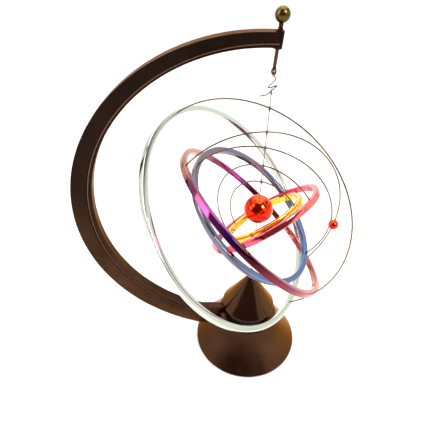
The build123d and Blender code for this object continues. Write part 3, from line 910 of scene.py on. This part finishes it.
rod = turned("hanger_stem", [(1.0, 119.0), (rod_r, 119.3), (rod_r, 143.5)], 40)
smooth(rod, 40)
clear_selection()
bpy.ops.mesh.primitive_cylinder_add(
    vertices=48,
    radius=1.75 * MM,
    depth=1.3 * MM,
    rotation=(math.radians(90), 0, 0),
    location=(0, 0, eye_reach_r * MM),
)
eye = named("stem_eye")
bpy.ops.object.transform_apply(location=True, rotation=True)
bpy.ops.object.mode_set(mode="EDIT")
bpy.ops.mesh.select_all(action="SELECT")
bpy.ops.transform.resize(value=(0.95, 1, 1.25), center_override=(0, 0, eye_reach_r * MM))
bpy.ops.object.mode_set(mode="OBJECT")
blade = box("eye_blade", (-1.15, -0.62, 116.5), (1.15, 0.62, 121.5))
take(blade)
bpy.ops.object.mode_set(mode="EDIT")
bpy.ops.mesh.select_all(action="DESELECT")
bpy.ops.object.mode_set(mode="OBJECT")
for vertex in blade.data.vertices:
    vertex.select = vertex.co.z > 118 * MM
bpy.ops.object.mode_set(mode="EDIT")
bpy.ops.transform.resize(value=(0.62, 1.1, 1), center_override=(0, 0, 121.5 * MM))
bpy.ops.object.mode_set(mode="OBJECT")
cut(eye, blade, "UNION")
hole = disc("eye_hole", 0.8, -3, 3, (0, eye_reach_r), 32)
cut(eye, hole)
soften(eye, 0.12, 2)
smooth(eye, 35)
stem = joined("hanger_stem", rod, eye)
settle(stem, along_rod(0.0))
finish_piece(stem, "hanger", "rod_brown", rod_finish, "hanger_rod")

# ---------------------------------------------------------------- hook
hook_points = [
    (0, 1.5, hook_z - 3.4),
    (0, 1.5, hook_z - 1.6),
    (0, 1.5, hook_z + 0.25),
    (0, 0.0, hook_z + 0.35),
    (0, -1.5, hook_z + 0.25),
    (0.1, -1.5, hook_z - 1.8),
    (2.0, -1.2, hook_z - 3.9),
    (-0.3, -0.6, hook_z - 6.8),
    (-3.1, 0.2, hook_z - 10.0),
    (0.0, 0.1, hook_z - 9.5),
    (3.7, 0.0, hook_z - 8.0),
    (1.6, 0.0, hook_z - 9.95),
    (-1.2, 0.0, hook_z - 12.7),
    (-3.1, 0.0, hook_z - 14.7),
    (-7.4, 0.0, hook_z - 15.2),
]
hook = wire("s_hook_wire", hook_points, hook_r)
finish_piece(hook, "hook", "hook_wire", hook_finish, "s_hook")

# ---------------------------------------------------------------- rings and bails
for ring_name in RINGS:
    centre, downhill, side, normal = ring_axes(ring_name)
    radius, hang_z = RINGS[ring_name][0], RINGS[ring_name][1]
    axes = Matrix((downhill, side, normal)).transposed().to_4x4()
    placing = Matrix.Translation(centre * MM) @ axes
    inner, outer, half = radius - hoop_t / 2, radius + hoop_t / 2, hoop_w / 2
    corner = []
    for step in range(5):
        turned_by = math.radians(22.5 * step)
        corner.append(
            (
                hoop_round - hoop_round * math.cos(turned_by),
                hoop_round - hoop_round * math.sin(turned_by),
            )
        )
    section = [(inner + in_r, -half + in_z) for in_r, in_z in corner]
    section += [(outer - in_r, -half + in_z) for in_r, in_z in reversed(corner)]
    section += [(outer - in_r, half - in_z) for in_r, in_z in corner]
    section += [(inner + in_r, half - in_z) for in_r, in_z in reversed(corner)]
    hoop = turned(f"{ring_name}_hoop", section + [section[0]], 256, closed=True)
    smooth(hoop, 30)
    settle(hoop, placing)
    finish_piece(
        hoop,
        f"{ring_name}_orbit",
        f"{ring_name}_mirror",
        ring_finish[ring_name],
        f"{ring_name}_ring",
    )

    clear_selection()
    bpy.ops.mesh.primitive_circle_add(vertices=16, radius=bail_r * MM)
    bail = named(f"{ring_name}_bail_wire")
    bpy.ops.object.mode_set(mode="EDIT")
    bpy.ops.mesh.select_all(action="SELECT")
    bpy.ops.transform.translate(value=(radius * MM, 0, 0))
    bpy.ops.mesh.edge_face_add()
    bpy.ops.mesh.spin(steps=160, angle=math.radians(180), center=(0, 0, 0), axis=(0, 1, 0))
    bpy.ops.object.mode_set(mode="OBJECT")
    outwards(bail)
    smooth(bail, 50)
    if max(vertex.co.z for vertex in bail.data.vertices) < radius * MM / 2:
        bail.data.transform(Matrix.Rotation(math.pi, 4, "X"))
    settle(bail, placing)
    eyelet = turned(
        f"{ring_name}_eyelet",
        [(0.35, -1.0), (0.7, -1.0), (0.9, -0.75), (0.82, -0.3), (0.9, 0.0)]
        + [(0.82, 0.3), (0.9, 0.75), (0.7, 1.0), (0.35, 1.0), (0.35, -1.0)],
        32,
        closed=True,
    )
    smooth(eyelet, 40)
    settle(eyelet, Matrix.Translation((0, 0, hang_z * MM)))
    bail = joined(f"{ring_name}_bail_wire", bail, eyelet)
    finish_piece(bail, f"{ring_name}_orbit", "bail_bronze", bail_finish, f"{ring_name}_bail")

# ---------------------------------------------------------------- balls


def bored_ball(name, radius, bore, steps, rings):
    """A ball with a lipped bore through it on Z."""
    low = math.degrees(math.asin((bore + 0.35) / radius))
    arc = [
        (radius * math.cos(math.radians(a)), radius * math.sin(math.radians(a)))
        for a in [-90 + low + (180 - 2 * low) * i / rings for i in range(rings + 1)]
    ]
    top = math.sqrt(radius**2 - (bore + 0.35) ** 2)
    lip = [(bore, top - 0.25), (bore, -top + 0.25)]
    ball = turned(name, arc + lip + [arc[0]], steps, closed=True)
    smooth(ball, 40)
    return ball


sun = bored_ball("sun_globe", sun_r, 0.35, 128, 60)
settle(sun, Matrix.Translation((0, 0, sun_z * MM)))
finish_piece(sun, "sun", "ball_red", sun_finish, "sun_ball")

purple_centre, purple_low, purple_side, purple_normal = ring_axes("purple")
planet_turn = math.radians(planet_angle)
planet_dir = purple_low * math.cos(planet_turn) + purple_normal * math.sin(planet_turn)
planet_at = purple_centre + planet_dir * RINGS["purple"][0]
tangent = planet_dir.cross(purple_side)
planet = bored_ball("planet_globe", planet_r, 0.65, 96, 44)
along_bail = Vector((0, 0, 1)).rotation_difference(tangent).to_matrix().to_4x4()
settle(planet, Matrix.Translation(planet_at * MM) @ along_bail)
# painted light: the planet's red ramp is oranger towards the upper right and darker towards the
# lower left
planet_finish = graded_metal(
    "planet_mirror_red",
    ball_red_and_painted_light_stops,
    along=(0.35, 0.2, 0.9),
    span=(-4, 4),
    centre=planet_at,
    roughness=0.06,
    bump=0.3,
)
finish_piece(planet, "planet", "ball_red", planet_finish, "planet_ball")

# ---------------------------------------------------------------- thread
strand = bpy.data.curves.new("hanging_strand", "CURVE")
strand.dimensions = "3D"
strand_line = strand.splines.new("NURBS")
strand_heights = [thread_top_z, 210.0, 150.0, magnet_z + magnet_h]
strand_line.points.add(len(strand_heights) - 1)
for i, z in enumerate(strand_heights):
    strand_line.points[i].co = (0, 0, z * MM, 1)
strand_line.order_u = 3
strand_line.use_endpoint_u = True
strand.bevel_depth = thread_r * MM
strand.bevel_resolution = 3
strand.materials.append(thread_finish)
strand_piece = bpy.data.objects.new("hanging_strand", strand)
bpy.context.scene.collection.objects.link(strand_piece)
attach(strand_piece, "hanging_thread")
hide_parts("thread")

# ---------------------------------------------------------------- finishes of the nodes that stay
node_finishes = {
    "neck_collar": collar_finish,
    "base_plate": plastic_finish,
    "battery_door": plastic_finish,
    "battery_clip": plastic_finish,
    "drive_transistor": plastic_finish,
    "rubber_feet": rubber_finish,
    "plate_screws": zinc_finish,
    "collar_screws": zinc_finish,
    "clamp_bolt": zinc_finish,
    "ballast_ring": iron_finish,
    "battery": battery_finish,
    "battery_lead": red_lead_finish,
    "coil_lead": black_lead_finish,
    "circuit_board": board_finish,
    "capacitor": can_finish,
    "coil_bobbin": nylon_finish,
    "drive_coil": winding_finish,
    "coil_core": steel_finish,
    "thread_knot": thread_finish,
    "thread_crimps": crimp_finish,
    "end_magnet": magnet_finish,
}
for node_name, finish in node_finishes.items():
    node = nodes[node_name]
    if not node.material_slots:
        node.data.materials.append(finish)
    for material_slot in node.material_slots:
        material_slot.material = finish

# ---------------------------------------------------------------- studio
clear_selection()
bpy.ops.mesh.primitive_plane_add(size=12, location=(0, 0, 0))
floor = named("studio_floor")
floor_material, floor_tree, floor_shader = new_material("pale_paper")
paper = place_group(
    floor_tree,
    grain_group,
    Color=(0.95, 0.95, 0.95, 1),
    Drift=0.02,
    Grain_Scale=300.0,
    Base_Roughness=0.7,
)
link(floor_tree, paper.outputs["Color"], floor_shader.inputs["Base Color"])
link(floor_tree, paper.outputs["Roughness"], floor_shader.inputs["Roughness"])
floor.data.materials.append(floor_material)


def soft_light(name, place, target, size, power, color=(1, 1, 1)):
    """A square soft box pointing at a target, in metres and watts."""
    light = bpy.data.lights.new(name, "AREA")
    light.shape = "RECTANGLE"
    light.size, light.size_y = size
    light.energy = power
    light.color = color
    lamp = bpy.data.objects.new(name, light)
    bpy.context.scene.collection.objects.link(lamp)
    aim = Vector(target) - Vector(place)
    aimed = aim.to_track_quat("-Z", "Y").to_matrix().to_4x4()
    lamp.matrix_world = Matrix.Translation(Vector(place)) @ aimed
    return lamp


soft_light("key_box", (0.75, -0.75, 1.3), (0, 0, 0.12), (0.5, 0.5), 16, (1.0, 0.96, 0.9))
soft_light("left_box", (-1.3, -0.3, 0.9), (0, 0, 0.12), (0.7, 1.2), 10, (1.0, 0.98, 0.95))
soft_light("overhead_box", (0.1, 0.3, 1.8), (0, 0, 0.12), (1.2, 1.2), 12)
soft_light("far_box", (0, 3.2, 2.6), (0, 2.4, 0), (5.0, 3.0), 52)

world = bpy.data.worlds.new("studio_world")
bpy.context.scene.world = world
world.use_nodes = True
world_tree = world.node_tree
background = world_tree.nodes["Background"]
direction = add_node(world_tree, "ShaderNodeTexCoord")
room = add_node(world_tree, "ShaderNodeTexNoise")
room.inputs["Scale"].default_value = 1.7
room.inputs["Detail"].default_value = 1.5
link(world_tree, direction.outputs["Generated"], room.inputs["Vector"])
panels = add_node(world_tree, "ShaderNodeValToRGB")
panels.color_ramp.elements[0].position = 0.3
panels.color_ramp.elements[0].color = (0.13, 0.1, 0.12, 1)
panels.color_ramp.elements[1].position = 0.4
panels.color_ramp.elements[1].color = (1.0, 0.98, 0.95, 1)
facing = add_node(world_tree, "ShaderNodeVectorMath", operation="DOT_PRODUCT")
link(world_tree, direction.outputs["Generated"], facing.inputs[0])
facing.inputs[1].default_value = (0.0, -0.77, 0.64)
dark_side = add_node(world_tree, "ShaderNodeMapRange", interpolation_type="SMOOTHSTEP")
dark_side.inputs["From Min"].default_value = 0.35
dark_side.inputs["From Max"].default_value = 0.85
dark_side.inputs["To Max"].default_value = -0.4
link(world_tree, facing.outputs["Value"], dark_side.inputs["Value"])
shade_room = add_node(world_tree, "ShaderNodeMath", operation="ADD")
link(world_tree, room.outputs["Fac"], shade_room.inputs[0])
link(world_tree, dark_side.outputs["Result"], shade_room.inputs[1])
link(world_tree, shade_room.outputs["Value"], panels.inputs["Fac"])
seen_by = add_node(world_tree, "ShaderNodeLightPath")
choose = add_node(world_tree, "ShaderNodeMix", data_type="RGBA")
link(world_tree, seen_by.outputs["Is Camera Ray"], choose.inputs["Factor"])
link(world_tree, panels.outputs["Color"], choose.inputs["A"])
choose.inputs["B"].default_value = (1, 1, 1, 1)
link(world_tree, choose.outputs["Result"], background.inputs["Color"])
background.inputs["Strength"].default_value = 1.15
bpy.context.scene.view_settings.view_transform = "Standard"
bpy.context.scene.view_settings.look = "None"
